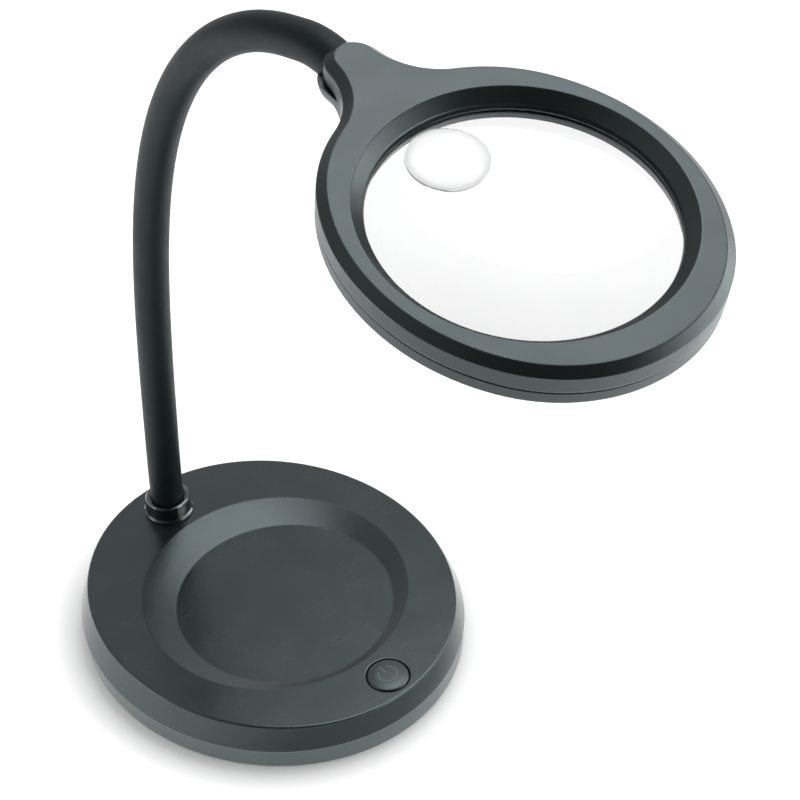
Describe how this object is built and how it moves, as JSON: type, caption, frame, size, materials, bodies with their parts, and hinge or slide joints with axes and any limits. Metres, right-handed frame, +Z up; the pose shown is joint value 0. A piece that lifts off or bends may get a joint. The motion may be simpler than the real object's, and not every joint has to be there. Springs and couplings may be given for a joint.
{
  "type": "magnifying lamp",
  "caption": "Desk magnifier lamp: weighted oval base with a round dish and push button, flexible arm, and a ring head holding a large lens with a small strong spot lens.",
  "frame": {"origin": "centre of the base on the surface it stands on", "axes": "+Z up; -Y towards the user, where the button is; +Y where the arm is rooted; X across"},
  "size_m": [0.155, 0.3011, 0.3163],
  "materials": {
    "cover_plastic": "fine matt, charcoal grey",
    "head_plastic": "fine satin, charcoal grey",
    "button_plastic": "satin, with a pale power symbol",
    "sleeve_rubber": "matt, near black",
    "foot_rubber": "matt",
    "collar_gloss": "polished black",
    "lens_acrylic": "clear, polished",
    "window_clear": "clear, frosted",
    "core_steel": "plain",
    "ballast_steel": "plain",
    "screw_steel": "zinc plated",
    "contact_metal": "plated",
    "cell_jacket": "printed jacket",
    "board_laminate": "green laminate",
    "switch_plastic": "black",
    "led_resin": "pale yellow",
    "wire_jacket": "grey jacket"
  },
  "bodies": {
    "base": {"base_top_cover": "cover_plastic", "base_bottom_cover": "cover_plastic", "ballast_plate": "ballast_steel", "base_screws": "screw_steel", "foot_ring": "foot_rubber", "battery_cell_1": "cell_jacket", "battery_cell_2": "cell_jacket", "battery_cell_3": "cell_jacket", "contact_plates": "contact_metal", "contact_springs": "contact_metal", "push_switch": "switch_plastic", "control_board": "board_laminate", "arm_collar": "collar_gloss", "foot_fitting": "core_steel", "foot_washer": "core_steel", "foot_nut": "core_steel", "neck_sleeve": "sleeve_rubber", "lamp_wire": "wire_jacket"},
    "button": {"power_button": "button_plastic", "switch_plunger": "switch_plastic"},
    "door": {"battery_door": "cover_plastic"},
    "link_01": {"neck_link_01": "core_steel"},
    "link_02": {"neck_link_02": "core_steel"},
    "link_03": {"neck_link_03": "core_steel"},
    "link_04": {"neck_link_04": "core_steel"},
    "link_05": {"neck_link_05": "core_steel"},
    "link_06": {"neck_link_06": "core_steel"},
    "link_07": {"neck_link_07": "core_steel"},
    "link_08": {"neck_link_08": "core_steel"},
    "link_09": {"neck_link_09": "core_steel"},
    "link_10": {"neck_link_10": "core_steel"},
    "link_11": {"neck_link_11": "core_steel"},
    "link_12": {"neck_link_12": "core_steel"},
    "head": {"head_top_shell": "head_plastic", "head_bottom_shell": "head_plastic", "head_fitting": "core_steel", "led_board": "board_laminate", "leds": "led_resin", "led_window": "window_clear", "head_screws": "screw_steel", "main_lens": "lens_acrylic", "spot_lens": "lens_acrylic"}
  },
  "joints": [
    {"name": "lean_01", "type": "hinge", "parent": "base", "child": "link_01", "pos_m": [0, 0.0667, 0.0385], "axis": [1, 0, 0], "range_deg": [-6, 6], "deforming": ["neck_sleeve", "lamp_wire"]},
    {"name": "sway_02", "type": "hinge", "parent": "link_01", "child": "link_02", "pos_m": [0, 0.0652, 0.06541], "axis": [0, 0.9983, 0.0575], "range_deg": [-9, 9]},
    {"name": "lean_03", "type": "hinge", "parent": "link_02", "child": "link_03", "pos_m": [0, 0.0636, 0.09231], "axis": [1, 0, 0], "range_deg": [-6, 6]},
    {"name": "lean_04", "type": "hinge", "parent": "link_03", "child": "link_04", "pos_m": [0, 0.06172, 0.11919], "axis": [1, 0, 0], "range_deg": [-6, 6]},
    {"name": "sway_05", "type": "hinge", "parent": "link_04", "child": "link_05", "pos_m": [0, 0.05923, 0.14603], "axis": [0, 0.9937, 0.1121], "range_deg": [-9, 9]},
    {"name": "lean_06", "type": "hinge", "parent": "link_05", "child": "link_06", "pos_m": [0, 0.05568, 0.17275], "axis": [1, 0, 0], "range_deg": [-6, 6]},
    {"name": "lean_07", "type": "hinge", "parent": "link_06", "child": "link_07", "pos_m": [0, 0.05048, 0.19919], "axis": [1, 0, 0], "range_deg": [-6, 6]},
    {"name": "sway_08", "type": "hinge", "parent": "link_07", "child": "link_08", "pos_m": [0, 0.04291, 0.22505], "axis": [0, 0.9404, 0.34], "range_deg": [-9, 9]},
    {"name": "nod_09", "type": "hinge", "parent": "link_08", "child": "link_09", "pos_m": [0, 0.03219, 0.24978], "axis": [1, 0, 0], "range_deg": [-15, 6]},
    {"name": "nod_10", "type": "hinge", "parent": "link_09", "child": "link_10", "pos_m": [0, 0.01755, 0.27241], "axis": [1, 0, 0], "range_deg": [-15, 6]},
    {"name": "sway_11", "type": "hinge", "parent": "link_10", "child": "link_11", "pos_m": [0, -0.00152, 0.29145], "axis": [0, 0.6068, 0.7949], "range_deg": [-9, 9]},
    {"name": "nod_12", "type": "hinge", "parent": "link_11", "child": "link_12", "pos_m": [0, -0.02492, 0.30482], "axis": [1, 0, 0], "range_deg": [-15, 6]},
    {"name": "nod_13", "type": "hinge", "parent": "link_12", "child": "head", "pos_m": [0, -0.05137, 0.31001], "axis": [1, 0, 0], "range_deg": [-15, 6]},
    {"name": "button_press", "type": "slide", "parent": "base", "child": "button", "axis": [0, 0, -1], "range_m": [0, 0.001], "stiffness_N_per_m": 1500, "springref_m": -0.0005},
    {"name": "door_swing", "type": "hinge", "parent": "base", "child": "door", "pos_m": [0, 0.0195, 0.0008], "axis": [1, 0, 0], "range_deg": [0, 110]}
  ],
  "couplings": [
    {"joint": "lean_03", "follows": "lean_01", "ratio": 1},
    {"joint": "lean_04", "follows": "lean_01", "ratio": 1},
    {"joint": "sway_05", "follows": "sway_02", "ratio": 1},
    {"joint": "lean_06", "follows": "lean_01", "ratio": 1},
    {"joint": "lean_07", "follows": "lean_01", "ratio": 1},
    {"joint": "sway_08", "follows": "sway_02", "ratio": 1},
    {"joint": "nod_10", "follows": "nod_09", "ratio": 1},
    {"joint": "sway_11", "follows": "sway_02", "ratio": 1},
    {"joint": "nod_12", "follows": "nod_09", "ratio": 1},
    {"joint": "nod_13", "follows": "nod_09", "ratio": 1}
  ]
}
